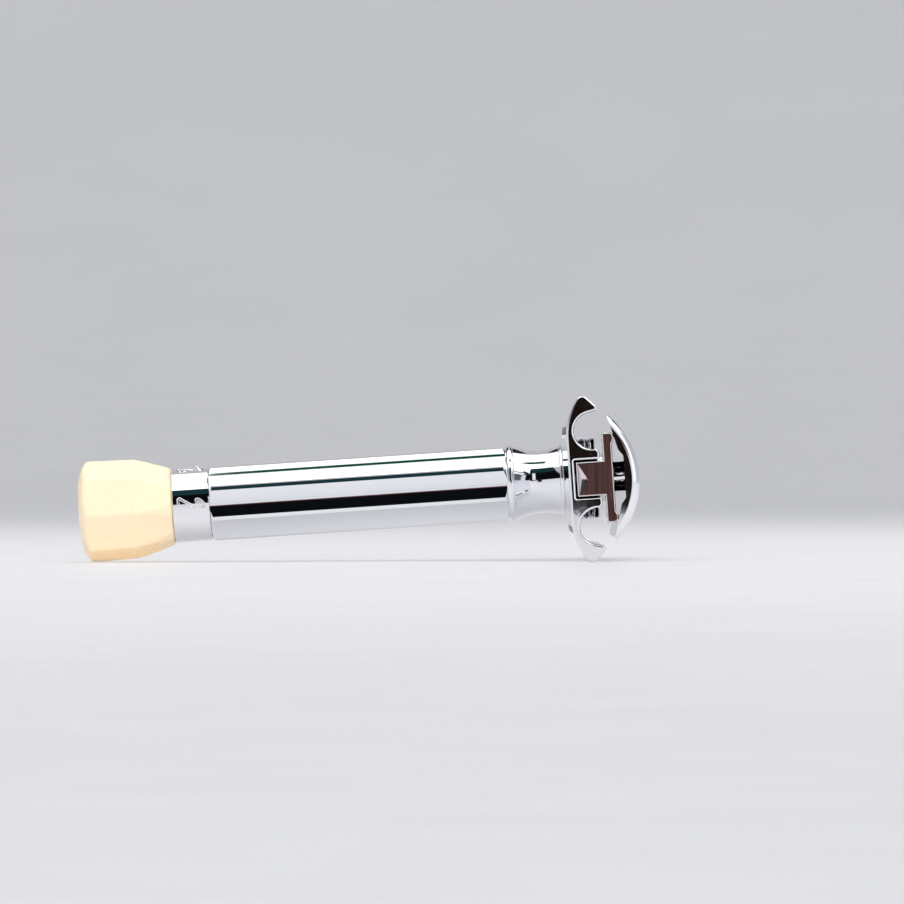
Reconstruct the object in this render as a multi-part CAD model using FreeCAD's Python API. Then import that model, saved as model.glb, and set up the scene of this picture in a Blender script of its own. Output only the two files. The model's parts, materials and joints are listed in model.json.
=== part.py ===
"""Adjustable double-edge safety razor, lying on its guard bar and knob as it is put down on a shelf.

Every piece is modelled in the handle frame: X runs along the handle towards the cap, with x = 0 on the
underside of the base plate, Y runs along the blade, and Z is square to both. The finished razor is then
tilted until the guard bar and the rim of the knob touch the same level, and moved so that the centre of its
footprint is the origin. All sizes are in millimetres.
"""
import FreeCAD
import Part
import math
import os

# Head
HEAD_LENGTH = 41.6
FLAT_HALF_WIDTH = 7.0
WING_RADIUS = 10.6
WING_CREST_ROUND = 1.2
WING_TIP_ROUND = 0.55
BEVEL_SUM = 17.33
TIP_SLOPE = 0.222
PLATE_WEB = 1.0
CHANNEL_HALF_WIDTH = 3.2
CHANNEL_CORNER_ROUND = 0.2
HOOK_TOP = 5.35
HOOK_INNER_ROUND = 0.45
HOOK_OUTER_ROUND = 0.8
SCOOP_RADIUS = 3.05
SCOOP_CENTRE = (4.35, 7.95)
BOSS_RADIUS = 6.9
BOSS_TOP = 5.1
EDGE_BREAK = 0.34
DRAIN_SLOT = (6.4, 2.0)
DRAIN_CUT = (-0.5, 2.0)
DRAIN_SLOT_ROWS = (-14.4, -4.8, 4.8, 14.4)

# Blade bed
BED_BOTTOM = 1.28
BED_STEM_HALF_WIDTH = 2.9
BED_FLANGE_UNDER = 5.85
BED_SEAT = 7.45
BED_BEAD_TOP = 7.8
BED_HALF_WIDTH = 7.5
BED_BEAD_WIDTH = 1.35
BED_BEAD_FOOT = 1.9
BED_BEAD_ROUND = 0.5
BED_EDGE_ROUND = 0.76
BED_HUB_RADIUS = 4.0
HUB_PLAY = 0.1
POINTER_BASE = 1.62
POINTER_HALF_WIDTH = 2.5
POINTER_TIP = 3.1
POINTER_DEPTH = 0.9

# Cap, its stud and its two pins
CAP_ARC_RADIUS = 14.27
CAP_ARC_CENTRE = -2.52
CAP_LENGTH = 42.0
CAP_END_ROUND = 1.3
CAP_RECESS = (9.23, 3.5)
CAP_STEP = (8.45, 4.5)
CAP_LIP = (7.08, 9.75)
CAP_EDGE = (7.1, 10.38)
CAP_SIDE = (9.4, 13.0)
STUD_RADIUS = 2.5
STUD_ROOT_RADIUS = 2.1
STUD_TOP = 10.6
STUD_END = -16.5
THREAD_START = -1.6
THREAD_PITCH = 0.8
STUD_POINT = 0.4
PIN_RADIUS = 1.55
PIN_TOP = 10.3
PIN_END = 2.2
PIN_CHAMFER = 0.3
PIN_ROW = (-11.5, 11.5)

# Neck
NECK_BOTTOM = -10.2
NECK_TOP = -0.5
NECK_SKIRT = (-8.9, 6.3)
NECK_WAIST = (-4.75, 5.28)
NECK_COLLAR = (-1.2, 5.74)
NECK_SPIGOT_RADIUS = 4.6
NECK_TAIL_RADIUS = 4.98
NECK_TAIL_END = -18.2
SPRING_CHAMBER_RADIUS = 3.95
SPRING_SHELF = -8.6
SPRING_WIRE_RADIUS = 0.35
SPRING_COIL_RADIUS = 3.3
SPRING_TURNS = 5
SPRING_SLACK = 0.28
UPPER_WASHER_THICKNESS = 0.5
LOWER_WASHER_THICKNESS = 0.4

# Barrel
BARREL_END = -60.4
BARREL_RIDGE_RADIUS = 6.6
BARREL_FLUTES = 8
FLUTE_DEPTH = 0.36
RIDGE_LAND_DEG = 5.5
BARREL_CONE_LENGTH = 0.45
BARREL_CONE_DROP = 0.62
BARREL_BORE_RADIUS = 4.4
BARREL_SOCKET_RADIUS = 5.0
LOWER_BUSH_LENGTH = 5.2

# Drive rod and its bearings
ROD_RADIUS = 3.6
ROD_TOP = -9.2
ROD_END = -78.0
ROD_WAIST_RADIUS = 3.0
ROD_WAIST = (-51.0, -21.0)
ROD_CHAMFER = 0.4
NUT_RADIUS = 3.1
NUT_LENGTH = 8.3
NUT_RELIEF = 2.7
BUSH_BORE_RADIUS = 3.65
CIRCLIP_TOP = -54.3
CIRCLIP_THICKNESS = 0.8
CIRCLIP_RADIUS = 4.2
CIRCLIP_GAP = 2.4
GROOVE_RADIUS = 3.0
GROOVE_PLAY = 0.05

# Dial end: number ring, knob and the insert inside it
RING_TOP = -60.45
RING_RADIUS = 6.18
RING_POCKET_RADIUS = 5.3
RING_POCKET_DEPTH = 0.5
RING_EDGE_BREAK = 0.12
KNOB_TOP = -66.7
KNOB_BEND = -73.05
KNOB_RIM = -80.95
KNOB_END = -82.6
KNOB_SIDES = 8
KNOB_RIM_CORNER = 8.62
KNOB_BEND_CORNER = 8.45
KNOB_TOP_CORNER = 6.8
KNOB_TOP_RADIUS = 6.45
KNOB_FOOT_RADIUS = 4.2
KNOB_TURN_DEG = 4.8
KNOB_EDGE_ROUND = 0.9
INSERT_CORNER = 5.4
INSERT_END = -79.2
DRIVE_PIN_X = -72.0
DRIVE_PIN_RADIUS = 0.8
DRIVE_PIN_LENGTH = 9.0
INDEX_PIN_X = -62.35
INDEX_PIN_RADIUS = 0.48
INDEX_PIN_FOOT = 5.2

# Play left between neighbours
RUNNING_FIT = 0.08
PRESS_GAP = 0.02

ORIGIN = FreeCAD.Vector(0, 0, 0)
X_AXIS = FreeCAD.Vector(1, 0, 0)
Y_AXIS = FreeCAD.Vector(0, 1, 0)
Z_AXIS = FreeCAD.Vector(0, 0, 1)


# ---------------------------------------------------------------- building blocks

def section_wire(start, *steps):
    """Closed outline in the XZ plane. A step is a point, or a (through, end) pair of points for an arc."""
    edges = []
    here = FreeCAD.Vector(start[0], 0, start[1])
    for step in steps + (start,):
        if isinstance(step[0], tuple):
            through, end = (FreeCAD.Vector(p[0], 0, p[1]) for p in step)
            edges.append(Part.Arc(here, through, end).toShape())
        else:
            end = FreeCAD.Vector(step[0], 0, step[1])
            if end.distanceToPoint(here) > 1e-6:
                edges.append(Part.LineSegment(here, end).toShape())
        here = end
    return Part.Wire(edges)


def turned(start, *steps):
    """Solid of revolution about the handle axis from an (x, radius) outline."""
    return Part.Face(section_wire(start, *steps)).revolve(ORIGIN, X_AXIS, 360)


def rod(x_low, x_high, radius, y=0.0):
    return Part.makeCylinder(radius, x_high - x_low, FreeCAD.Vector(x_low, y, 0), X_AXIS)


def tube(x_low, x_high, outer, inner):
    return rod(x_low, x_high, outer).cut(rod(x_low, x_high, inner))


def extruded(length, start, *steps):
    """Prism along the blade direction, centred on the handle axis, from an (x, z) outline."""
    face = Part.Face(section_wire(start, *steps))
    face.translate(FreeCAD.Vector(0, -length / 2, 0))
    return face.extrude(FreeCAD.Vector(0, length, 0))


def block(x_low, x_high, y_half, z_half):
    corner = FreeCAD.Vector(x_low, -y_half, -z_half)
    return Part.makeBox(x_high - x_low, 2 * y_half, 2 * z_half, corner)


def mirrored(points):
    """The same (x, z) steps below the axis, in reverse order, for the second half of a symmetric outline."""
    back = []
    ends = [p[1] if isinstance(p[0], tuple) else p for p in points]
    for step, before in zip(reversed(points), reversed([None] + ends[:-1])):
        if before is None:
            break
        low = (before[0], -before[1])
        back.append(((step[0][0], -step[0][1]), low) if isinstance(step[0], tuple) else low)
    return [(ends[-1][0], -ends[-1][1])] + back


def polygon_at(x, corner_radius, sides, turn_deg):
    """Regular polygon square to the handle axis, with one corner turned turn_deg from the bottom."""
    points = []
    for i in range(sides + 1):
        a = math.radians(turn_deg - 90 + 360 * i / sides)
        points.append(FreeCAD.Vector(x, corner_radius * math.cos(a), corner_radius * math.sin(a)))
    return Part.makePolygon(points)


def frustum(x_low, low_corner, x_high, high_corner):
    """Tapered length of the knob, with its flats turned the knob's own way."""
    low = polygon_at(x_low, low_corner, KNOB_SIDES, KNOB_TURN_DEG)
    high = polygon_at(x_high, high_corner, KNOB_SIDES, KNOB_TURN_DEG)
    return Part.makeLoft([low, high], True, True)


def rounded(solid, corners):
    """Round the edges that run along the blade at (x, z) and (x, -z), each with its own radius."""
    for x, z, radius in corners:
        edges = []
        for edge in solid.Edges:
            box = edge.BoundBox
            off_x = abs(box.XMin - x) + abs(box.XMax - x)
            off_z = min(abs(box.ZMin - side) + abs(box.ZMax - side) for side in (-z, z))
            if box.YLength > 1 and off_x < 1e-3 and off_z < 1e-3:
                edges.append(edge)
        solid = solid.makeFillet(radius, edges)
    return solid


def broken_ends(solid, length, size):
    """Round the edges of both end faces of a prism."""
    for y in (-length / 2, length / 2):
        edges = []
        for edge in solid.Edges:
            box = edge.BoundBox
            if abs(box.YMin - y) < 1e-4 and abs(box.YMax - y) < 1e-4:
                edges.append(edge)
        solid = solid.makeFillet(size, edges)
    return solid


# ---------------------------------------------------------------- head

def base_plate():
    """Guard plate: two open-C wings, a channel for the bed between hooked lips, and a round centre boss."""
    scoop_x, scoop_z = SCOOP_CENTRE
    hook_z = scoop_z - math.sqrt(SCOOP_RADIUS ** 2 - (HOOK_TOP - scoop_x) ** 2)
    rise = math.atan(TIP_SLOPE)
    tangent = (scoop_x - SCOOP_RADIUS * math.sin(rise), scoop_z + SCOOP_RADIUS * math.cos(rise))
    tip_x = (BEVEL_SUM - tangent[1] + TIP_SLOPE * tangent[0]) / (1 + TIP_SLOPE)
    crest = math.acos((FLAT_HALF_WIDTH + WING_RADIUS - BEVEL_SUM) / WING_RADIUS / math.sqrt(2)) - math.pi / 4
    upper = [
        (PLATE_WEB, CHANNEL_HALF_WIDTH),
        (HOOK_TOP, CHANNEL_HALF_WIDTH),
        (HOOK_TOP, hook_z),
        ((scoop_x - SCOOP_RADIUS, scoop_z), tangent),
        (tip_x, BEVEL_SUM - tip_x),
        on_wing(crest),
        (on_wing(crest / 2), (0.0, FLAT_HALF_WIDTH)),
    ]
    plate = extruded(HEAD_LENGTH, *upper, *mirrored(upper))
    plate = rounded(plate, [
        (*on_wing(crest), WING_CREST_ROUND),
        (tip_x, BEVEL_SUM - tip_x, WING_TIP_ROUND),
        (HOOK_TOP, hook_z, HOOK_OUTER_ROUND),
        (HOOK_TOP, CHANNEL_HALF_WIDTH, HOOK_INNER_ROUND),
        (PLATE_WEB, CHANNEL_HALF_WIDTH, CHANNEL_CORNER_ROUND),
    ])
    plate = broken_ends(plate, HEAD_LENGTH, EDGE_BREAK)
    boss = rod(0, BOSS_TOP, BOSS_RADIUS).cut(block(PLATE_WEB, BOSS_TOP, BOSS_RADIUS, CHANNEL_HALF_WIDTH))
    plate = plate.fuse(boss)
    plate = plate.cut(rod(PLATE_WEB, HOOK_TOP, BED_HUB_RADIUS + HUB_PLAY))
    plate = plate.cut(rod(0, PLATE_WEB, NECK_SPIGOT_RADIUS + PRESS_GAP))
    slots = [drain_slot(y, side * scoop_z) for y in DRAIN_SLOT_ROWS for side in (-1, 1)]
    return plate.cut(Part.makeCompound(slots)).removeSplitter()


def on_wing(angle):
    """Point on a wing's outer arc, which leaves the flat underside tangentially."""
    return (WING_RADIUS * (1 - math.cos(angle)), FLAT_HALF_WIDTH + WING_RADIUS * math.sin(angle))


def drain_slot(y, z):
    """Round-ended cutter through a wing where it is thinnest."""
    length, width = DRAIN_SLOT
    x_low, x_high = DRAIN_CUT
    depth = x_high - x_low
    flat = (length - width) / 2
    cutter = Part.makeBox(depth, 2 * flat, width, FreeCAD.Vector(x_low, y - flat, z - width / 2))
    for end in (-flat, flat):
        foot = FreeCAD.Vector(x_low, y + end, z)
        cutter = cutter.fuse(Part.makeCylinder(width / 2, depth, foot, X_AXIS))
    return cutter


def blade_bed():
    """Seat that the blade lies on: a full-length T with a round hub that slides in the base plate's boss."""
    upper = [
        (BED_BOTTOM, BED_STEM_HALF_WIDTH),
        (BED_FLANGE_UNDER, BED_STEM_HALF_WIDTH),
        (BED_FLANGE_UNDER, BED_HALF_WIDTH),
        (BED_BEAD_TOP, BED_HALF_WIDTH),
        (BED_BEAD_TOP, BED_HALF_WIDTH - BED_BEAD_WIDTH),
        (BED_SEAT, BED_HALF_WIDTH - BED_BEAD_FOOT),
    ]
    bed = extruded(HEAD_LENGTH, *upper, *mirrored(upper))
    bed = rounded(bed, [
        (BED_FLANGE_UNDER, BED_HALF_WIDTH, BED_EDGE_ROUND / 2),
        (BED_BEAD_TOP, BED_HALF_WIDTH, BED_EDGE_ROUND),
        (BED_BEAD_TOP, BED_HALF_WIDTH - BED_BEAD_WIDTH, BED_BEAD_ROUND),
        (BED_SEAT, BED_HALF_WIDTH - BED_BEAD_FOOT, BED_BEAD_ROUND),
    ])
    bed = broken_ends(bed, HEAD_LENGTH, EDGE_BREAK)
    bed = bed.fuse(rod(BED_BOTTOM, BED_FLANGE_UNDER, BED_HUB_RADIUS))
    bed = bed.cut(rod(BED_BOTTOM, BED_SEAT, STUD_RADIUS + RUNNING_FIT))
    for y in PIN_ROW:
        bed = bed.cut(rod(BED_BOTTOM, BED_SEAT, PIN_RADIUS + RUNNING_FIT, y))
    return bed.cut(pointer_notch()).removeSplitter()


def pointer_notch():
    """Three-sided notch in the near end of the bed's stem, pointing to the cap."""
    face_y = -HEAD_LENGTH / 2
    left = FreeCAD.Vector(POINTER_BASE, face_y, -POINTER_HALF_WIDTH)
    right = FreeCAD.Vector(POINTER_BASE, face_y, POINTER_HALF_WIDTH)
    tip = FreeCAD.Vector(POINTER_TIP, face_y, 0.0)
    deep = FreeCAD.Vector(POINTER_TIP - 0.2, face_y + POINTER_DEPTH, 0.0)
    corners = (left, right, tip)
    faces = [Part.Face(Part.makePolygon([*corners, left]))]
    for a, b in zip(corners, corners[1:] + corners[:1]):
        faces.append(Part.Face(Part.makePolygon([a, b, deep, a])))
    return Part.Solid(Part.Shell(faces))


def cap():
    """Curved clamping cap, hollow under its middle, with ends rounded along the whole arc."""
    bored_from = CAP_RECESS[0] - 0.5
    shell = Part.Face(cap_half_section()).revolve(FreeCAD.Vector(CAP_ARC_CENTRE, 0, 0), Y_AXIS, 360)
    lip_x, lip_z = CAP_LIP
    upper = [
        CAP_RECESS,
        CAP_STEP,
        CAP_LIP,
        ((lip_x - 0.1, lip_z + 0.35), CAP_EDGE),
        CAP_SIDE,
        (STUD_TOP + 2.4, CAP_SIDE[1]),
    ]
    under = extruded(CAP_LENGTH + 2, *upper, *mirrored(upper))
    body = shell.common(under)
    body = body.cut(rod(bored_from, STUD_TOP, STUD_RADIUS + PRESS_GAP))
    for y in PIN_ROW:
        body = body.cut(rod(bored_from, PIN_TOP, PIN_RADIUS + PRESS_GAP, y))
    return body


def cap_half_section():
    """Outline in the XY plane, from the cap's arc axis outwards, with a quarter round at each end."""
    half = CAP_LENGTH / 2
    outer = CAP_ARC_RADIUS
    inner = outer - CAP_END_ROUND
    diagonal = inner + CAP_END_ROUND * math.sin(math.pi / 4)
    flat = half - CAP_END_ROUND
    bend = flat + CAP_END_ROUND * math.sin(math.pi / 4)
    at = [FreeCAD.Vector(CAP_ARC_CENTRE + r, y, 0) for r, y in (
        (0, -half), (inner, -half), (diagonal, -bend), (outer, -flat),
        (outer, flat), (diagonal, bend), (inner, half), (0, half))]
    return Part.Wire([
        Part.LineSegment(at[0], at[1]).toShape(),
        Part.Arc(at[1], at[2], at[3]).toShape(),
        Part.LineSegment(at[3], at[4]).toShape(),
        Part.Arc(at[4], at[5], at[6]).toShape(),
        Part.LineSegment(at[6], at[7]).toShape(),
        Part.LineSegment(at[7], at[0]).toShape(),
    ])


def cap_stud():
    """Centre stud; its thread is drawn as plain rings at the thread's pitch."""
    steps = [(STUD_TOP, STUD_RADIUS), (THREAD_START, STUD_RADIUS)]
    x = THREAD_START
    while x - THREAD_PITCH > STUD_END + STUD_POINT:
        steps.append((x - THREAD_PITCH / 2, STUD_ROOT_RADIUS))
        steps.append((x - THREAD_PITCH, STUD_RADIUS))
        x -= THREAD_PITCH
    steps.append((STUD_END + STUD_POINT, STUD_ROOT_RADIUS))
    steps.append((STUD_END, STUD_ROOT_RADIUS - STUD_POINT))
    return turned((STUD_TOP, 0), *steps, (STUD_END, 0))


def cap_pins():
    """Two round pins that hold the blade and bed square to the cap."""
    pins = []
    for y in PIN_ROW:
        pin = turned((PIN_TOP, 0), (PIN_TOP, PIN_RADIUS), (PIN_END + PIN_CHAMFER, PIN_RADIUS),
                     (PIN_END, PIN_RADIUS - PIN_CHAMFER), (PIN_END, 0))
        pin.translate(FreeCAD.Vector(0, y, 0))
        pins.append(pin)
    return Part.makeCompound(pins)


# ---------------------------------------------------------------- neck and spring

def neck():
    """Waisted collar between barrel and head, with the spring chamber inside it."""
    chamfer = 0.3
    skirt_x, skirt_radius = NECK_SKIRT
    collar_x, collar_radius = NECK_COLLAR
    return turned(
        (NECK_TAIL_END, BARREL_BORE_RADIUS),
        (NECK_TAIL_END, NECK_TAIL_RADIUS - chamfer),
        (NECK_TAIL_END + chamfer, NECK_TAIL_RADIUS),
        (NECK_BOTTOM, NECK_TAIL_RADIUS),
        (NECK_BOTTOM, skirt_radius - 0.2),
        ((skirt_x - 0.6, skirt_radius + 0.28), NECK_SKIRT),
        (NECK_WAIST, NECK_COLLAR),
        (((collar_x + NECK_TOP) / 2, collar_radius + 0.2), (NECK_TOP, collar_radius)),
        (NECK_TOP, NECK_SPIGOT_RADIUS),
        (PLATE_WEB - 0.05, NECK_SPIGOT_RADIUS),
        (PLATE_WEB - 0.05, SPRING_CHAMBER_RADIUS),
        (SPRING_SHELF, SPRING_CHAMBER_RADIUS),
        (SPRING_SHELF, BUSH_BORE_RADIUS),
        (NECK_BOTTOM, BUSH_BORE_RADIUS),
        (NECK_BOTTOM, BARREL_BORE_RADIUS),
    )


def neck_spacer():
    return tube(NECK_TOP, 0, 5.6, NECK_SPIGOT_RADIUS + PRESS_GAP)


def upper_spring_washer():
    x_low = BED_BOTTOM - UPPER_WASHER_THICKNESS
    return tube(x_low, BED_BOTTOM, SPRING_CHAMBER_RADIUS - 0.15, STUD_RADIUS + RUNNING_FIT)


def lower_spring_washer():
    x_high = SPRING_SHELF + LOWER_WASHER_THICKNESS
    return tube(SPRING_SHELF, x_high, SPRING_CHAMBER_RADIUS - 0.05, STUD_RADIUS + 0.2)


def bed_spring():
    """Compression spring under the bed, drawn at the length it has when the head is closed tight."""
    x_low = SPRING_SHELF + LOWER_WASHER_THICKNESS + SPRING_WIRE_RADIUS
    x_high = BED_BOTTOM - UPPER_WASHER_THICKNESS - SPRING_SLACK - SPRING_WIRE_RADIUS
    helix = Part.makeHelix((x_high - x_low) / SPRING_TURNS, x_high - x_low, SPRING_COIL_RADIUS)
    start = FreeCAD.Vector(SPRING_COIL_RADIUS, 0, 0)
    ring = Part.Wire(Part.makeCircle(SPRING_WIRE_RADIUS, start, Y_AXIS))
    coil = Part.Wire(helix).makePipeShell([ring], True, True)
    coil.rotate(ORIGIN, Y_AXIS, 90)
    coil.translate(FreeCAD.Vector(x_low, 0, 0))
    return coil


# ---------------------------------------------------------------- barrel

def barrel():
    """Handle tube with eight shallow concave flutes; a cone at each end cuts only the ridges between them."""
    length = NECK_BOTTOM - BARREL_END
    fluted = Part.Face(fluted_wire()).extrude(FreeCAD.Vector(length, 0, 0))
    cone_radius = BARREL_RIDGE_RADIUS - BARREL_CONE_DROP
    clear_radius = BARREL_RIDGE_RADIUS + 0.02
    envelope = turned(
        (BARREL_END, 0),
        (BARREL_END, cone_radius),
        (BARREL_END + BARREL_CONE_LENGTH, clear_radius),
        (NECK_BOTTOM - BARREL_CONE_LENGTH, clear_radius),
        (NECK_BOTTOM, cone_radius),
        (NECK_BOTTOM, 0),
    )
    solid = fluted.common(envelope)
    solid = solid.cut(rod(BARREL_END, NECK_BOTTOM, BARREL_BORE_RADIUS))
    solid = solid.cut(rod(NECK_TAIL_END - 0.1, NECK_BOTTOM, BARREL_SOCKET_RADIUS))
    return solid.cut(rod(BARREL_END, BARREL_END + LOWER_BUSH_LENGTH, BARREL_SOCKET_RADIUS))


def fluted_wire():
    """Barrel section: a narrow land on each ridge, and a hollow arc between each pair of lands."""
    step = 360 / BARREL_FLUTES
    land = RIDGE_LAND_DEG / 2
    valley = BARREL_RIDGE_RADIUS * math.cos(math.radians(step / 2 - land)) - FLUTE_DEPTH

    def at(radius, degrees):
        a = math.radians(degrees)
        return FreeCAD.Vector(BARREL_END, radius * math.cos(a), radius * math.sin(a))

    edges = []
    for i in range(BARREL_FLUTES):
        ridge = step * (i + 0.5)
        start, top, end = (at(BARREL_RIDGE_RADIUS, ridge + d) for d in (-land, 0, land))
        edges.append(Part.Arc(start, top, end).toShape())
        following = at(BARREL_RIDGE_RADIUS, ridge + step - land)
        edges.append(Part.Arc(end, at(valley, ridge + step / 2), following).toShape())
    return Part.Wire(edges)


def upper_bush():
    return tube(NECK_TAIL_END + 0.3, NECK_BOTTOM - 0.1, BARREL_BORE_RADIUS - PRESS_GAP, BUSH_BORE_RADIUS)


def lower_bush():
    x_high = BARREL_END + LOWER_BUSH_LENGTH
    return tube(BARREL_END, x_high, BARREL_SOCKET_RADIUS - PRESS_GAP, BUSH_BORE_RADIUS)


# ---------------------------------------------------------------- drive rod

def drive_rod():
    """Rod that carries the knob's turn up the handle, bored at the top for the threaded insert."""
    waist_low, waist_high = ROD_WAIST
    groove_top = CIRCLIP_TOP + GROOVE_PLAY
    groove_low = CIRCLIP_TOP - CIRCLIP_THICKNESS - GROOVE_PLAY
    shaft = turned(
        (ROD_TOP, 0),
        (ROD_TOP, ROD_RADIUS),
        (waist_high, ROD_RADIUS),
        (waist_high - 1.0, ROD_WAIST_RADIUS),
        (waist_low + 1.0, ROD_WAIST_RADIUS),
        (waist_low, ROD_RADIUS),
        (groove_top, ROD_RADIUS),
        (groove_top, GROOVE_RADIUS),
        (groove_low, GROOVE_RADIUS),
        (groove_low, ROD_RADIUS),
        (ROD_END + ROD_CHAMFER, ROD_RADIUS),
        (ROD_END, ROD_RADIUS - ROD_CHAMFER),
        (ROD_END, 0),
    )
    shaft = shaft.cut(rod(ROD_TOP - NUT_LENGTH, ROD_TOP, NUT_RADIUS))
    shaft = shaft.cut(rod(ROD_TOP - NUT_LENGTH - NUT_RELIEF, ROD_TOP, STUD_RADIUS + RUNNING_FIT))
    return shaft.cut(cross_pin(DRIVE_PIN_RADIUS + PRESS_GAP, 2 * ROD_RADIUS + 1))


def cross_pin(radius, length):
    return Part.makeCylinder(radius, length, FreeCAD.Vector(DRIVE_PIN_X, -length / 2, 0), Y_AXIS)


def thread_insert():
    """Brass nut in the rod's top; its bore is left smooth at the stud's outer size."""
    return tube(ROD_TOP - NUT_LENGTH, ROD_TOP, NUT_RADIUS - PRESS_GAP, STUD_RADIUS + RUNNING_FIT)


def circlip():
    """Open retaining ring in the rod's groove, above the lower bush."""
    x_low = CIRCLIP_TOP - CIRCLIP_THICKNESS
    ring = tube(x_low, CIRCLIP_TOP, CIRCLIP_RADIUS, GROOVE_RADIUS + PRESS_GAP)
    corner = FreeCAD.Vector(x_low, -CIRCLIP_GAP / 2, 0)
    return ring.cut(Part.makeBox(CIRCLIP_THICKNESS, CIRCLIP_GAP, CIRCLIP_RADIUS, corner))


def drive_pin():
    return cross_pin(DRIVE_PIN_RADIUS, DRIVE_PIN_LENGTH)


# ---------------------------------------------------------------- dial end

def number_ring():
    """Plain round ring that carries the setting numbers, with a pocket for the friction washer."""
    ring = turned(
        (KNOB_TOP, NECK_SPIGOT_RADIUS),
        (KNOB_TOP, RING_RADIUS - RING_EDGE_BREAK),
        (KNOB_TOP + RING_EDGE_BREAK, RING_RADIUS),
        (RING_TOP - RING_EDGE_BREAK, RING_RADIUS),
        (RING_TOP, RING_RADIUS - RING_EDGE_BREAK),
        (RING_TOP, RING_POCKET_RADIUS),
        (RING_TOP - RING_POCKET_DEPTH, RING_POCKET_RADIUS),
        (RING_TOP - RING_POCKET_DEPTH, NECK_SPIGOT_RADIUS),
    )
    return ring.cut(index_hole())


def index_hole():
    foot = FreeCAD.Vector(INDEX_PIN_X, 0, INDEX_PIN_FOOT)
    return Part.makeCylinder(INDEX_PIN_RADIUS + PRESS_GAP, 2, foot, Z_AXIS)


def index_pin():
    """Small domed pin pressed into the ring."""
    dome_centre = FreeCAD.Vector(INDEX_PIN_X, 0, RING_RADIUS - 0.02)
    foot = FreeCAD.Vector(INDEX_PIN_X, 0, INDEX_PIN_FOOT)
    shank = Part.makeCylinder(INDEX_PIN_RADIUS, dome_centre.z - foot.z, foot, Z_AXIS)
    dome = Part.makeSphere(INDEX_PIN_RADIUS, dome_centre, Z_AXIS, 0, 90, 360)
    return shank.fuse(dome)


def friction_washer():
    play = 0.05
    x_low = RING_TOP - RING_POCKET_DEPTH + play
    return tube(x_low, RING_TOP - play, RING_POCKET_RADIUS - play, BUSH_BORE_RADIUS + 2 * play)


def knob_insert():
    """Brass hexagon moulded into the knob, with a round spigot that carries the number ring."""
    hexagon = Part.Face(polygon_at(INSERT_END, INSERT_CORNER, 6, 0)).extrude(
        FreeCAD.Vector(KNOB_TOP - INSERT_END, 0, 0))
    spigot = rod(KNOB_TOP, RING_TOP - RING_POCKET_DEPTH - 0.05, NECK_SPIGOT_RADIUS - PRESS_GAP)
    insert = hexagon.fuse(spigot).cut(rod(INSERT_END, RING_TOP, ROD_RADIUS + PRESS_GAP))
    return insert.cut(cross_pin(DRIVE_PIN_RADIUS + PRESS_GAP, 2 * INSERT_CORNER))


def knob():
    """Eight-sided knob: nearly straight grip, tapered shoulder, and a turned surface clipping each end."""
    grip = frustum(KNOB_END, KNOB_RIM_CORNER + 0.05, KNOB_BEND, KNOB_BEND_CORNER)
    shoulder = frustum(KNOB_BEND, KNOB_BEND_CORNER, KNOB_TOP, KNOB_TOP_CORNER)
    clear_radius = KNOB_RIM_CORNER + 0.6
    envelope = turned(
        (KNOB_END, 0),
        (KNOB_END, KNOB_FOOT_RADIUS),
        foot_round(),
        (KNOB_RIM + 0.1, clear_radius),
        (KNOB_BEND - 1.2, clear_radius),
        (KNOB_BEND - 0.2, KNOB_BEND_CORNER + 0.1),
        (KNOB_TOP, KNOB_TOP_RADIUS),
        (KNOB_TOP, 0),
    )
    body = grip.fuse(shoulder).common(envelope)
    foot_circle = 2 * math.pi * KNOB_FOOT_RADIUS
    corners = [edge for edge in body.Edges if abs(edge.Length - foot_circle) > 1e-3]
    body = body.makeFillet(KNOB_EDGE_ROUND, corners)
    pocket = Part.Face(polygon_at(INSERT_END - 0.05, INSERT_CORNER + PRESS_GAP, 6, 0)).extrude(
        FreeCAD.Vector(KNOB_TOP - INSERT_END + 0.05, 0, 0))
    return body.cut(pocket)


def foot_round():
    """Arc that leaves the knob's flat foot tangentially and reaches the rim, as a (through, end) pair."""
    out = KNOB_RIM_CORNER + 0.02 - KNOB_FOOT_RADIUS
    up = KNOB_RIM - KNOB_END
    radius = (out ** 2 + up ** 2) / (2 * up)
    half = math.asin(out / radius) / 2
    through = (KNOB_END + radius * (1 - math.cos(half)), KNOB_FOOT_RADIUS + radius * math.sin(half))
    return (through, (KNOB_RIM, KNOB_RIM_CORNER + 0.02))


# ---------------------------------------------------------------- lay the razor down and write it out

PIECES = {
    "knob": knob,
    "knob_insert": knob_insert,
    "drive_pin": drive_pin,
    "number_ring": number_ring,
    "index_pin": index_pin,
    "friction_washer": friction_washer,
    "drive_rod": drive_rod,
    "thread_insert": thread_insert,
    "circlip": circlip,
    "barrel": barrel,
    "lower_bush": lower_bush,
    "upper_bush": upper_bush,
    "neck": neck,
    "neck_spacer": neck_spacer,
    "lower_spring_washer": lower_spring_washer,
    "bed_spring": bed_spring,
    "upper_spring_washer": upper_spring_washer,
    "base_plate": base_plate,
    "blade_bed": blade_bed,
    "cap": cap,
    "cap_stud": cap_stud,
    "cap_pins": cap_pins,
}


def tilted(shape, degrees):
    """Copy of a piece with the handle's cap end raised by the given angle."""
    copy = shape.copy()
    copy.rotate(ORIGIN, Y_AXIS, -degrees)
    return copy


def resting_tilt(guard, knob_shape):
    """Angle at which the guard bar and the knob's rim reach down to the same level."""
    low, high = 0.0, 10.0
    for _ in range(24):
        middle = (low + high) / 2
        guard_low = tilted(guard, middle).optimalBoundingBox(False).ZMin
        knob_low = tilted(knob_shape, middle).optimalBoundingBox(False).ZMin
        if guard_low < knob_low:
            low = middle
        else:
            high = middle
    return (low + high) / 2


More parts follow.
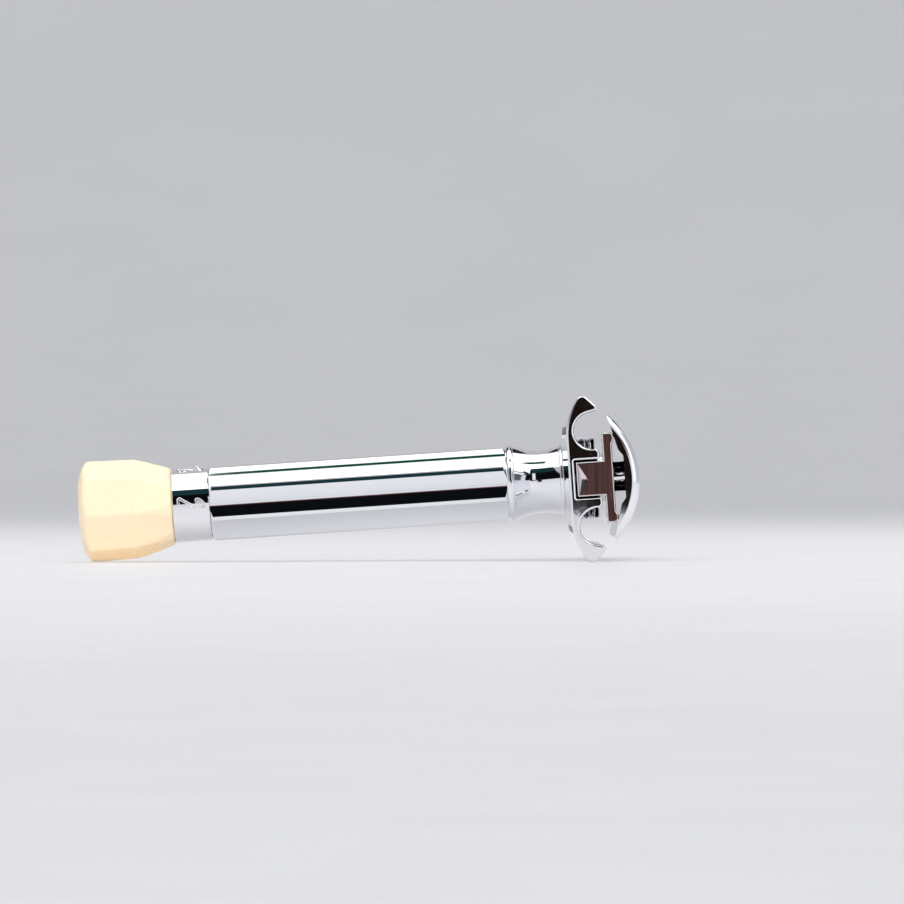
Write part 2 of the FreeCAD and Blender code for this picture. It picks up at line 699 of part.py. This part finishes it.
def main():
    os.makedirs("parts", exist_ok=True)
    shapes = {name: make() for name, make in PIECES.items()}
    tilt = resting_tilt(shapes["base_plate"], shapes["knob"])
    shapes = {name: tilted(shape, tilt) for name, shape in shapes.items()}
    box = Part.makeCompound(list(shapes.values())).optimalBoundingBox(False)
    move = FreeCAD.Vector(-box.Center.x, -box.Center.y, -box.ZMin)
    print(f"tilt {tilt:.4f} deg, moved by {move.x:.4f}, {move.y:.4f}, {move.z:.4f} mm")
    print(f"size {box.XLength:.2f} x {box.YLength:.2f} x {box.ZLength:.2f} mm")
    for name, shape in shapes.items():
        shape.translate(move)
        if not shape.isValid():
            print("invalid:", name)
        shape.exportStep(f"parts/{name}.step")


main()
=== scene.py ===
"""Studio view of the adjustable safety razor, lying on its guard bar and knob on a pale floor."""
import json
import math

import bpy
import numpy as np
from mathutils import Matrix, Vector

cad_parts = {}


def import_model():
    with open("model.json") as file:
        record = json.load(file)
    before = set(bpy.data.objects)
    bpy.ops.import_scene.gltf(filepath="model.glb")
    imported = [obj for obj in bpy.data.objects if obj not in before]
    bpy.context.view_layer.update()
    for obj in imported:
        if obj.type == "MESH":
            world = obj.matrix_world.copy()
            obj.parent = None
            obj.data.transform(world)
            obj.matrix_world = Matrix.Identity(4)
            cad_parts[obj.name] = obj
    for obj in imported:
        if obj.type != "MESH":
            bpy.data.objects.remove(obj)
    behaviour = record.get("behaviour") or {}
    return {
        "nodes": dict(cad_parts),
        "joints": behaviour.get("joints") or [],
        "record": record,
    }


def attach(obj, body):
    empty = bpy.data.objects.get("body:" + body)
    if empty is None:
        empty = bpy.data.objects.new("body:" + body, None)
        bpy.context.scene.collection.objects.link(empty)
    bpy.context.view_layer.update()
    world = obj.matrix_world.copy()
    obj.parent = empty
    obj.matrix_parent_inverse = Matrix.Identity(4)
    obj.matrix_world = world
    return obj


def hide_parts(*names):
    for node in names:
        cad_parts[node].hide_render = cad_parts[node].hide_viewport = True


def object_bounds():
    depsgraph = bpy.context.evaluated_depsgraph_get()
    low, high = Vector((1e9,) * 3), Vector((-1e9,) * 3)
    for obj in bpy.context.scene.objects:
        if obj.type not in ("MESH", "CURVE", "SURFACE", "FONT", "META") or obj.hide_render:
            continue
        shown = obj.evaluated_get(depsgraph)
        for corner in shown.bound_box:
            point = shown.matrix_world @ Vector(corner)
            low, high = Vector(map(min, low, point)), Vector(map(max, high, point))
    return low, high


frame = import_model()
cad_low, cad_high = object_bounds()
MM = 0.001

# Camera, in metres and degrees
CAMERA_DISTANCE = 1.10
CAMERA_RIGHT = 0.01605
CAMERA_HEIGHT = 0.01836
FRAME_WIDTH = 0.1530
CAMERA_ROLL_DEG = 0.27
SENSOR = 36.0

# Handle, in millimetres along its axis from the base plate's underside
BARREL_END = -60.4
RING_LOW, RING_TOP = -66.7, -60.45
RING_RADIUS = 6.18
RING_BORE = 4.6
RING_POCKET = (5.3, 0.5)
RING_BREAK = 0.12
PIN_HOLE = (-62.35, 0.56, 5.15)
DIGIT_FOOT = -63.05
DIGIT_HEIGHT = 2.6
DIGIT_WIDTH = 1.8
DIGIT_STEP_DEG = 72.0
FRONT_DIGIT_DEG = 3.5
OVAL_DROP = 1.05
OVAL_SIZE = (0.34, 0.80)
OVAL_TILT_DEG = 45.0
GROOVE_HALF_WIDTH = 0.20
GROOVE_DEPTH = 0.13
GROOVE_ROUNDING = 1.6
GROOVE_DULL_FROM = 0.35
RING_COLUMNS, RING_ROWS = 640, 104
STUD_END, STUD_TOP = -16.5, 10.6
STUD_RADIUS, STUD_ROOT = 2.5, 2.1
STUD_POINT = 0.4
STUD_SHANK = (-1.0, 6.0)
STUD_COLUMNS = 64
THREAD_START, THREAD_PITCH = -1.6, 0.8
THREAD_RUNOUT = 0.4
THREAD_STEP = 0.08
SHARP_EDGE_DEG = 38


# ---------------------------------------------------------------- node helpers

def add(tree, kind, **inputs):
    """A node of the given kind. Values are set on its sockets, and a socket given as a value is linked."""
    node = tree.nodes.new(kind)
    for name, value in inputs.items():
        socket = node.inputs[int(name[1:])] if name[0] == "i" and name[1:].isdigit() else node.inputs[name]
        if isinstance(value, bpy.types.NodeSocket):
            tree.links.new(value, socket)
        else:
            socket.default_value = value
    return node


def math_node(tree, operation, a, b=0.0):
    node = add(tree, "ShaderNodeMath", i0=a, i1=b)
    node.operation = operation
    return node.outputs[0]


def mapped(tree, value, low, high, to_low, to_high):
    node = tree.nodes.new("ShaderNodeMapRange")
    node.interpolation_type = "SMOOTHSTEP"
    for i, v in enumerate((value, low, high, to_low, to_high)):
        if isinstance(v, bpy.types.NodeSocket):
            tree.links.new(v, node.inputs[i])
        else:
            node.inputs[i].default_value = v
    return node.outputs[0]


def mixed(tree, factor, under, cover):
    """Colour mix: under where factor is 0, cover where it is 1."""
    node = tree.nodes.new("ShaderNodeMix")
    node.data_type = "RGBA"
    for i, v in ((0, factor), (6, under), (7, cover)):
        if isinstance(v, bpy.types.NodeSocket):
            tree.links.new(v, node.inputs[i])
        else:
            node.inputs[i].default_value = (*v, 1) if isinstance(v, tuple) else v
    return node.outputs[2]


def noise(tree, vector, scale, detail=2.0, rough=0.5):
    node = add(tree, "ShaderNodeTexNoise", Vector=vector, Scale=scale, Detail=detail, Roughness=rough)
    return node.outputs["Fac"]


def scaled(tree, place, x, y, z):
    node = add(tree, "ShaderNodeVectorMath", i0=place, i1=(x, y, z))
    node.operation = "MULTIPLY"
    return node.outputs[0]


def material(name):
    """An empty node material with its Principled shader and object coordinates."""
    made = bpy.data.materials.new(name)
    made.use_nodes = True
    tree = made.node_tree
    shader = tree.nodes["Principled BSDF"]
    place = tree.nodes.new("ShaderNodeTexCoord").outputs["Object"]
    return made, tree, shader, place


def bumped(tree, shader, height, distance, strength=1.0, below=None):
    node = add(tree, "ShaderNodeBump", Height=height, Distance=distance, Strength=strength)
    if below is not None:
        tree.links.new(below, node.inputs["Normal"])
    tree.links.new(node.outputs[0], shader.inputs["Normal"])
    return node.outputs[0]


# ---------------------------------------------------------------- materials

CREAM_DEEP = (0.955, 0.785, 0.54)
CREAM_LIGHT = (0.965, 0.795, 0.56)
BRIGHT_PLATE = (0.91, 0.92, 0.95)
EDGE_PLATE = (0.88, 0.84, 0.85)
# Painted dark brown reflection for the blade bed's end faces, lighter and darker along the saw lines.
PAINTED_REFLECTION_LIGHT = (0.16, 0.085, 0.075)
PAINTED_REFLECTION_DARK = (0.10, 0.05, 0.045)
SPECKLE_SCALE = 2600.0


def chrome(name, tint, rough_low, rough_high, wave, wave_scale, speckle):
    """Bright plate: a slow waviness, faint polishing haze and a fine speckle."""
    made, tree, shader, place = material(name)
    shader.inputs["Base Color"].default_value = (*tint, 1)
    shader.inputs["Metallic"].default_value = 1.0
    haze = noise(tree, place, 220.0, 4.0, 0.6)
    tree.links.new(mapped(tree, haze, 0.35, 0.75, rough_low, rough_high), shader.inputs["Roughness"])
    slow = bumped(tree, shader, noise(tree, place, wave_scale, 2.0), wave)
    bumped(tree, shader, noise(tree, place, SPECKLE_SCALE, 2.0), speckle, below=slow)
    return made


def sawn_chrome(name):
    """Bright plate, with a painted dark brown reflection and fine saw lines on the two end faces."""
    made, tree, shader, place = material(name)
    shader.inputs["Metallic"].default_value = 1.0
    lines = noise(tree, scaled(tree, place, 3200.0, 3200.0, 160.0), 1.0, 3.0, 0.6)
    facing = tree.nodes.new("ShaderNodeTexCoord").outputs["Normal"]
    across = math_node(tree, "ABSOLUTE", add(tree, "ShaderNodeSeparateXYZ", i0=facing).outputs[1])
    milled = mapped(tree, across, 0.90, 0.98, 0.0, 1.0)
    # Painted dark brown reflection, lighter and darker along the saw lines, laid on the end faces only.
    painted_reflection = mixed(tree, mapped(tree, lines, 0.35, 0.65, 0.0, 1.0), PAINTED_REFLECTION_LIGHT, PAINTED_REFLECTION_DARK)
    tree.links.new(mixed(tree, milled, EDGE_PLATE, painted_reflection), shader.inputs["Base Color"])
    tree.links.new(mapped(tree, milled, 0.0, 1.0, 0.05, 0.30), shader.inputs["Roughness"])
    bumped(tree, shader, lines, 1.5e-7)
    return made


def metal(name, tint, rough_low, rough_high, grain):
    """Machined or drawn metal with a fine tool grain."""
    made, tree, shader, place = material(name)
    shader.inputs["Base Color"].default_value = (*tint, 1)
    shader.inputs["Metallic"].default_value = 1.0
    fine = noise(tree, place, grain, 3.0, 0.6)
    tree.links.new(mapped(tree, fine, 0.3, 0.7, rough_low, rough_high), shader.inputs["Roughness"])
    bumped(tree, shader, fine, 4e-6)
    return made


def knob_plastic():
    """Cream moulded plastic: a faint mottle, a soft gloss and a very fine orange peel."""
    made, tree, shader, place = material("knob_plastic")
    mottle = mapped(tree, noise(tree, place, 160.0, 2.0), 0.3, 0.7, 0.0, 1.0)
    tree.links.new(mixed(tree, mottle, CREAM_DEEP, CREAM_LIGHT), shader.inputs["Base Color"])
    haze = noise(tree, place, 700.0, 3.0)
    tree.links.new(mapped(tree, haze, 0.3, 0.7, 0.20, 0.28), shader.inputs["Roughness"])
    slow = bumped(tree, shader, noise(tree, place, 240.0, 2.0), 5e-6)
    bumped(tree, shader, noise(tree, place, 1500.0, 2.0), 1.5e-6, below=slow)
    return made


def dress_nodes():
    """Every CAD node gets its finish; the chrome differs between turned, cast and pressed pieces."""
    turned = chrome("chrome_turned", BRIGHT_PLATE, 0.03, 0.055, 6e-6, 130.0, 1.2e-7)
    cast = chrome("chrome_cast", BRIGHT_PLATE, 0.018, 0.034, 2.5e-6, 330.0, 2e-7)
    smooth = chrome("chrome_cap", BRIGHT_PLATE, 0.02, 0.035, 2.5e-6, 150.0, 1e-7)
    milled = sawn_chrome("chrome_milled")
    brass = metal("brass", (0.78, 0.56, 0.24), 0.22, 0.34, 900.0)
    steel = metal("steel", (0.55, 0.55, 0.57), 0.20, 0.32, 1200.0)
    by_slot = {"chrome_plate": turned, "brass": brass, "steel": steel, "knob_plastic": knob_plastic()}
    by_node = {"base_plate": cast, "blade_bed": milled, "cap": smooth}
    for part in frame["record"]["subparts"]:
        node = frame["nodes"][part["node"]]
        node.data.materials.clear()
        node.data.materials.append(by_node.get(part["node"], by_slot[part["material_slot"]]))
    return turned


# ---------------------------------------------------------------- pieces built here

def handle_place():
    """Matrix from handle millimetres (along the axis, across, up from the axis) to the scene's metres."""
    turn = next(j for j in frame["joints"] if j["name"] == "knob_turn")
    along = Vector(turn["axis"]).normalized()
    across = Vector((0, 1, 0))
    up = along.cross(across)
    turned = Matrix((along, across, up)).transposed()
    place = turned.to_4x4() @ Matrix.Scale(MM, 4)
    place.translation = Vector(turn["pos_m"]) - along * BARREL_END * MM
    return place


def round_grid(name, along, radius, rows_wrap):
    """Mesh from a grid of radii about the handle axis. Rows follow along, columns go round; ends are closed
    by a face each, or by joining the last row to the first."""
    rows, columns = radius.shape
    angle = np.linspace(0, 2 * math.pi, columns, endpoint=False)
    place = handle_place()
    points = np.empty((rows, columns, 4))
    points[..., 0] = along[:, None]
    points[..., 1] = radius * np.cos(angle)
    points[..., 2] = radius * np.sin(angle)
    points[..., 3] = 1
    flat = points.reshape(-1, 4) @ np.array(place).T
    faces = []
    for i in range(rows if rows_wrap else rows - 1):
        here, there = i * columns, (i + 1) % rows * columns
        for j in range(columns):
            k = (j + 1) % columns
            faces.append((here + j, here + k, there + k, there + j))
    if not rows_wrap:
        faces.append(tuple(reversed(range(columns))))
        faces.append(tuple((rows - 1) * columns + j for j in range(columns)))
    mesh = bpy.data.meshes.new(name)
    mesh.from_pydata(flat[:, :3].tolist(), [], faces)
    mesh.validate()
    mesh.polygons.foreach_set("use_smooth", [True] * len(mesh.polygons))
    mesh.set_sharp_from_angle(angle=math.radians(SHARP_EDGE_DEG))
    piece = bpy.data.objects.new(name, mesh)
    bpy.context.scene.collection.objects.link(piece)
    return piece


def arc(x, y, rx, ry, start, end, steps=14):
    """Points of an elliptical arc, in parts of a digit's width and height."""
    angles = np.radians(np.linspace(start, end, steps))
    return [(x + rx * math.cos(a), y + ry * math.sin(a)) for a in angles]


def digit_strokes():
    """Plain single-line odd digits, each in a box from (0, 0) to (1, 1)."""
    return {
        1: [[(0.25, 0.78), (0.6, 1.0), (0.6, 0.0)]],
        3: [arc(0.45, 0.75, 0.48, 0.25, 150, -90) + arc(0.45, 0.26, 0.53, 0.26, 90, -150)],
        5: [[(0.92, 1.0), (0.15, 1.0), (0.08, 0.55)] + arc(0.45, 0.32, 0.5, 0.32, 120, -150)],
        7: [[(0.0, 1.0), (0.9, 1.0), (1.0, 0.9), (0.12, 0.0)]],
        9: [arc(0.5, 0.68, 0.48, 0.32, -30, 330) + [(0.92, 0.5), (0.4, 0.0)]],
    }


def engraved_lines():
    """Line pieces of all the ring's marks, as start and end points in millimetres: round the ring from its
    front, and towards the knob. Each digit has a small slanted oval at its foot."""
    lines = []
    tilt = math.radians(OVAL_TILT_DEG)
    for digit, strokes in digit_strokes().items():
        centre = math.radians(FRONT_DIGIT_DEG + (digit - 7) / 2 * DIGIT_STEP_DEG) * RING_RADIUS
        for stroke in strokes:
            path = [(centre + (x - 0.5) * DIGIT_WIDTH, -DIGIT_FOOT + y * DIGIT_HEIGHT) for x, y in stroke]
            lines += zip(path[:-1], path[1:])
        path = [(centre + x * math.cos(tilt) + y * math.sin(tilt),
                 -DIGIT_FOOT - OVAL_DROP - x * math.sin(tilt) + y * math.cos(tilt))
                for x, y in arc(0.0, 0.0, *OVAL_SIZE, 0, 360, 20)]
        lines += zip(path[:-1], path[1:])
    return lines


def number_ring(plate):
    """Ring with its numbers cut as shallow round-bottomed grooves."""
    outer = np.linspace(RING_LOW + RING_BREAK, RING_TOP - RING_BREAK, RING_ROWS)
    pocket_radius, pocket_depth = RING_POCKET
    pocket_floor = RING_TOP - pocket_depth
    chamfered = RING_RADIUS - RING_BREAK
    section = [(RING_LOW, chamfered)]
    section += [(x, RING_RADIUS) for x in outer]
    section += [(RING_TOP, chamfered), (RING_TOP, pocket_radius), (pocket_floor, pocket_radius)]
    section += [(pocket_floor, RING_BORE), (RING_LOW, RING_BORE)]
    along, radius = np.array(section).T
    radius = np.repeat(radius[:, None], RING_COLUMNS, axis=1)
    angle = np.linspace(0, 2 * math.pi, RING_COLUMNS, endpoint=False)
    half = math.pi * RING_RADIUS
    u, v = np.meshgrid((math.pi - angle) * RING_RADIUS, -outer)
    nearest = np.full(u.shape, np.inf)
    for (ax, ay), (bx, by) in engraved_lines():
        px = (u - ax + half) % (2 * half) - half
        py = v - ay
        length = (bx - ax) ** 2 + (by - ay) ** 2
        t = np.clip((px * (bx - ax) + py * (by - ay)) / max(length, 1e-9), 0, 1)
        nearest = np.minimum(nearest, np.hypot(px - t * (bx - ax), py - t * (by - ay)))
    depth = np.clip(1 - nearest / GROOVE_HALF_WIDTH, 0, 1)
    depth = GROOVE_DEPTH * np.sin(np.clip(depth * GROOVE_ROUNDING, 0, 1) * math.pi / 2)
    radius[1:1 + len(outer)] -= depth
    hole_along, hole_radius, hole_floor = PIN_HOLE
    in_hole = np.hypot(u - math.pi / 2 * RING_RADIUS, v + hole_along) < hole_radius
    radius[1:1 + len(outer)][in_hole] = hole_floor
    ring = round_grid("number_ring_engraved", along, radius, True)
    ring.data.materials.append(plate)
    ring.data.materials.append(chrome("chrome_groove", (0.92, 0.92, 0.94), 0.14, 0.22, 4e-6, 600.0, 6e-7))
    for row, column in np.argwhere(depth > GROOVE_DULL_FROM * GROOVE_DEPTH):
        ring.data.polygons[int(row + 1) * RING_COLUMNS + int(column)].material_index = 1
    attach(ring, "dial")
    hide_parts("number_ring")


def threaded_stud(plate):
    """Centre stud with a true right-handed helical thread."""
    threaded = np.arange(STUD_END + STUD_POINT, THREAD_START, THREAD_STEP)
    along = np.array([STUD_END, *threaded, THREAD_START, *STUD_SHANK, STUD_TOP])
    turn = np.linspace(0, 1, STUD_COLUMNS, endpoint=False)
    phase = (along[:, None] / THREAD_PITCH - turn[None, :]) % 1.0
    crest = 1 - np.abs(2 * phase - 1)
    fade = np.clip((THREAD_START - along) / THREAD_RUNOUT, 0, 1)[:, None]
    radius = STUD_RADIUS - (STUD_RADIUS - STUD_ROOT) * (1 - crest) * fade
    radius[0] = STUD_ROOT - STUD_POINT
    radius[1] = STUD_ROOT
    stud = round_grid("cap_stud_threaded", along, radius, False)
    stud.data.materials.append(plate)
    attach(stud, "cap")
    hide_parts("cap_stud")


# ---------------------------------------------------------------- floor, light, camera

FLOOR_FRONT = -0.85
SWEEP_START = 0.95
SWEEP_RADIUS = 1.0
SWEEP_TOP = 1.3
SWEEP_OPEN_DEG = 62
SWEEP_RINGS, SWEEP_SPOKES = 24, 96
# Strength of the painted glow on the floor near the razor.
FLOOR_GLOW = 0.33
ROOM_LOW = (0.76, 0.77, 0.82)
ROOM_HIGH = (0.86, 0.86, 0.88)
OVERHEAD_HEIGHT = 0.80
OVERHEAD_RADIANCE = 1.14

# Boards and gaps that the bright plate mirrors, each laid over those before it: directions from the front
# (None is all round, and the right is positive) and heights above the horizon, both in degrees, then the
# colour and how far the edges blur.
BOARDS = (
    (None, (20.0, 80.0), (0.52, 0.50, 0.52), 3.0),                        # gray band under the ceiling
    ((22.0, 135.0), (-5.0, 62.0), (1.08, 1.08, 1.10), 3.0),               # white wall at the right
    ((-62.0, -40.0), (5.0, 35.0), (0.12, 0.12, 0.13), 3.0),               # dark screen at the front left
    ((100.0, 166.0), (30.0, 54.0), (0.02, 0.024, 0.028), 1.5),            # black boards behind
    ((-166.0, -100.0), (30.0, 54.0), (0.02, 0.024, 0.028), 1.5),
    ((-32.0, 22.0), (4.3, 50.5), (0.003, 0.0035, 0.0045), 0.4),           # black board in front
    ((-32.0, 22.0), (33.0, 50.5), (0.010, 0.034, 0.040), 1.0),            # its teal upper part
    ((-32.0, 22.0), (4.3, 6.8), (0.10, 0.035, 0.035), 0.3),               # its red lower edge
    ((11.0, 17.0), (8.0, 32.0), (0.84, 0.84, 0.88), 0.4),                 # window in it, for the neck
    ((0.55, 8.0), (-3.0, 4.8), (0.010, 0.006, 0.005), 0.2),               # dark patch for the flat end faces
    (None, (66.0, 90.5), (0.006, 0.06, 0.03), 0.5),                       # green cast in the overhead gap
)


def pale_paint():
    """Pale table paint, darker near the razor under a painted glow, and plain further out and up the wall.
    """
    made, tree, shader, place = material("floor")
    away = add(tree, "ShaderNodeVectorMath", i0=place)
    away.operation = "LENGTH"
    far = mapped(tree, away.outputs["Value"], 0.12, 0.75, 0.0, 1.0)
    tone = mapped(tree, noise(tree, place, 14.0, 2.0), 0.3, 0.7, 0.0, 1.0)
    near_tone = mixed(tree, tone, (0.395, 0.395, 0.405), (0.405, 0.405, 0.415))
    far_tone = mixed(tree, tone, (0.605, 0.610, 0.625), (0.62, 0.625, 0.64))
    tree.links.new(mixed(tree, far, near_tone, far_tone), shader.inputs["Base Color"])
    haze = noise(tree, place, 60.0, 3.0)
    tree.links.new(mapped(tree, haze, 0.3, 0.7, 0.45, 0.55), shader.inputs["Roughness"])
    bumped(tree, shader, noise(tree, place, 900.0, 3.0), 1.5e-5)
    # Painted glow near the razor: it softens the razor's shadow and brightens the floor that the barrel's
    # underside mirrors.
    shader.inputs["Emission Color"].default_value = (0.98, 0.98, 1.0, 1)
    near = math_node(tree, "SUBTRACT", 1.0, far)
    tree.links.new(math_node(tree, "MULTIPLY", near, FLOOR_GLOW), shader.inputs["Emission Strength"])
    return made


def staged(name, points, faces, paint):
    mesh = bpy.data.meshes.new(name)
    mesh.from_pydata(points, [], faces)
    mesh.polygons.foreach_set("use_smooth", [True] * len(mesh.polygons))
    mesh.materials.append(paint)
    made = bpy.data.objects.new(name, mesh)
    bpy.context.scene.collection.objects.link(made)


def floor():
    """Flat pale table, and behind it a wall that rises in one smooth sweep on three sides."""
    paint = pale_paint()
    profile = [(0.0, 0.0), (0.5, 0.0), (SWEEP_START, 0.0)]
    for i in range(1, SWEEP_RINGS + 1):
        a = math.radians(90 * i / SWEEP_RINGS)
        profile.append((SWEEP_START + SWEEP_RADIUS * math.sin(a), SWEEP_RADIUS * (1 - math.cos(a))))
    profile.append((SWEEP_START + SWEEP_RADIUS, SWEEP_TOP))
    points, faces = [], []
    for i in range(SWEEP_SPOKES + 1):
        a = math.radians(SWEEP_OPEN_DEG + (360 - 2 * SWEEP_OPEN_DEG) * i / SWEEP_SPOKES)
        points += [(r * math.sin(a), -r * math.cos(a), h) for r, h in profile]
    n = len(profile)
    for i in range(SWEEP_SPOKES):
        for j in range(n - 1):
            a, b = i * n + j, (i + 1) * n + j
            faces.append((a, b, b + 1, a + 1) if j else (a, b + 1, a + 1))
    staged("sweep", points, faces, paint)
    side = -FLOOR_FRONT * math.tan(math.radians(SWEEP_OPEN_DEG))
    staged("floor", [(0, 0, 0), (-side, FLOOR_FRONT, 0), (side, FLOOR_FRONT, 0)], [(0, 1, 2)], paint)


def world():
    """Pale room. Only mirror reflections see the boards; the camera and the soft light see it plain."""
    made = bpy.data.worlds.new("studio")
    made.use_nodes = True
    bpy.context.scene.world = made
    tree = made.node_tree
    tree.nodes.clear()
    out = tree.nodes.new("ShaderNodeOutputWorld")
    direction = tree.nodes.new("ShaderNodeTexCoord").outputs["Generated"]
    x, y, z = add(tree, "ShaderNodeSeparateXYZ", i0=direction).outputs
    height = math_node(tree, "DEGREES", math_node(tree, "ARCSINE", z))
    side = math_node(tree, "DEGREES", math_node(tree, "ARCTAN2", x, math_node(tree, "MULTIPLY", y, -1.0)))

    def within(value, low, high, blur):
        rise = mapped(tree, value, low - blur, low + blur, 0.0, 1.0)
        fall = mapped(tree, value, high - blur, high + blur, 1.0, 0.0)
        return math_node(tree, "MULTIPLY", rise, fall)

    room = mixed(tree, mapped(tree, height, -2.0, 40.0, 0.0, 1.0), ROOM_LOW, ROOM_HIGH)
    for sides, heights, colour, blur in BOARDS:
        mask = within(height, *heights, blur)
        if sides:
            mask = math_node(tree, "MULTIPLY", mask, within(side, *sides, blur))
        room = mixed(tree, mask, room, colour)
    shine = add(tree, "ShaderNodeBackground", Color=room, Strength=1.0)
    dome = add(tree, "ShaderNodeBackground", Color=(0.97, 0.97, 1.0, 1), Strength=0.85)
    plain = add(tree, "ShaderNodeBackground", Color=(0.86, 0.865, 0.88, 1), Strength=1.0)
    ray = tree.nodes.new("ShaderNodeLightPath").outputs
    soft = add(tree, "ShaderNodeMixShader", i0=ray["Is Glossy Ray"], i1=dome.outputs[0], i2=shine.outputs[0])
    seen = add(tree, "ShaderNodeMixShader", i0=ray["Is Camera Ray"], i1=soft.outputs[0], i2=plain.outputs[0])
    tree.links.new(seen.outputs[0], out.inputs[0])


def softbox(name, low, high, height, radiance):
    """Flat light facing down over a rectangle from low to high (x, y), as bright as the radiance given."""
    light = bpy.data.lights.new(name, "AREA")
    light.shape = "RECTANGLE"
    light.size, light.size_y = high[0] - low[0], high[1] - low[1]
    light.energy = radiance * math.pi * light.size * light.size_y
    lamp = bpy.data.objects.new(name, light)
    lamp.location = ((low[0] + high[0]) / 2, (low[1] + high[1]) / 2, height)
    bpy.context.scene.collection.objects.link(lamp)
    return lamp


def unseen_card(name, place, target, size, radiance, colour=(1, 1, 1)):
    """Flat light that faces from place to target, and that the bright plate doesn't mirror."""
    lamp = softbox(name, (-size[0] / 2, -size[1] / 2), (size[0] / 2, size[1] / 2), 0.0, radiance)
    lamp.location = place
    lamp.rotation_euler = (Vector(target) - Vector(place)).to_track_quat("-Z", "Y").to_euler()
    lamp.data.color = colour
    lamp.visible_glossy = False
    lamp.visible_camera = False


def lights():
    """Two overhead boxes with a narrow gap between them, which the barrel mirrors as a thin dark line, and
    three unseen cards: one fills the front, one lifts the wall behind, and a small warm one on the floor
    returns the knob's own colour to its underside."""
    softbox("overhead_front", (-0.8, -0.655), (0.8, -0.295), OVERHEAD_HEIGHT, OVERHEAD_RADIANCE)
    softbox("overhead_back", (-0.8, -0.165), (0.8, 0.44), OVERHEAD_HEIGHT, OVERHEAD_RADIANCE)
    softbox("overhead_fill", (-0.8, -0.295), (-0.105, -0.165), OVERHEAD_HEIGHT, OVERHEAD_RADIANCE)
    unseen_card("front_fill", (0.0, -1.6, 0.27), (0.0, 0.0, 0.0), (1.2, 0.5), 4.4)
    unseen_card("wall_fill", (0.0, 0.5, 1.6), (0.0, 1.9, 0.5), (2.0, 0.5), 0.8)
    unseen_card("warm_card", (-0.0385, -0.002, 0.0004), (-0.0385, -0.002, 1.0), (0.016, 0.016), 0.24,
                (1.0, 0.60, 0.0))


def camera():
    data = bpy.data.cameras.new("camera")
    data.sensor_width = SENSOR
    data.lens = SENSOR * CAMERA_DISTANCE / FRAME_WIDTH
    data.clip_start = 0.05
    data.clip_end = 50.0
    eye = bpy.data.objects.new("camera", data)
    bpy.context.scene.collection.objects.link(eye)
    level = Matrix.Rotation(math.radians(90), 4, "X")
    roll = Matrix.Rotation(math.radians(-CAMERA_ROLL_DEG), 4, "Z")
    centre_x = (cad_low.x + cad_high.x) / 2
    place = Matrix.Translation((centre_x + CAMERA_RIGHT, -CAMERA_DISTANCE, CAMERA_HEIGHT))
    eye.matrix_world = place @ level @ roll
    bpy.context.scene.camera = eye


def view_settings():
    scene = bpy.context.scene
    scene.view_settings.view_transform = "Standard"
    scene.view_settings.look = "None"
    scene.view_settings.exposure = 0.0


camera()
view_settings()
world()
lights()
floor()
plate = dress_nodes()
number_ring(plate)
threaded_stud(plate)
